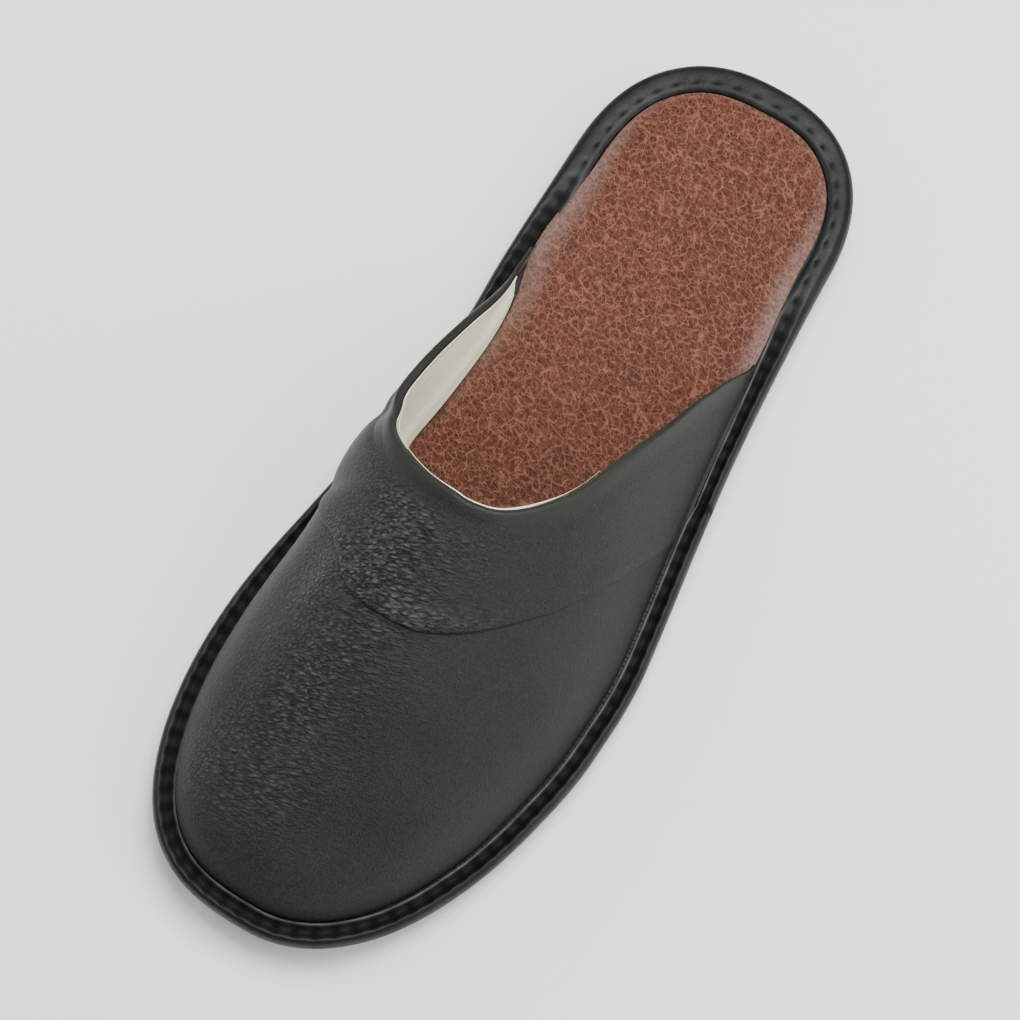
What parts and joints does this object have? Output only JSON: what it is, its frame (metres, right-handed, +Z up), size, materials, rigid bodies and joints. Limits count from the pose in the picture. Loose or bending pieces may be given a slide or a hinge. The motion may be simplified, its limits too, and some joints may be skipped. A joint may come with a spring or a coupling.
{
  "type": "closed-toe leather mule slipper",
  "caption": "Left closed-toe backless leather house slipper with an instep band, a bound low rubber sole and a padded insole.",
  "frame": {"origin": "on the floor under the middle of the sole, half way along it and half way across its binding", "axes": "+Y towards the toe, +X towards the inner side of the foot, +Z up"},
  "size_m": [0.1094, 0.2878, 0.0625],
  "materials": {
    "sole_rubber": "matte black, fine ribbed tread",
    "binding_leather": "smooth black, satin, rolled over the sole's edge",
    "insole_leather": "reddish brown with a fine crackled grain",
    "upper_leather": "pebbled charcoal black, soft sheen",
    "band_leather": "pebbled charcoal black, soft sheen, folded front edge"
  },
  "bodies": {
    "root": {"sole": "sole_rubber", "binding": "binding_leather", "insole": "insole_leather", "upper": "upper_leather", "instep_band": "band_leather"}
  },
  "joints": []
}
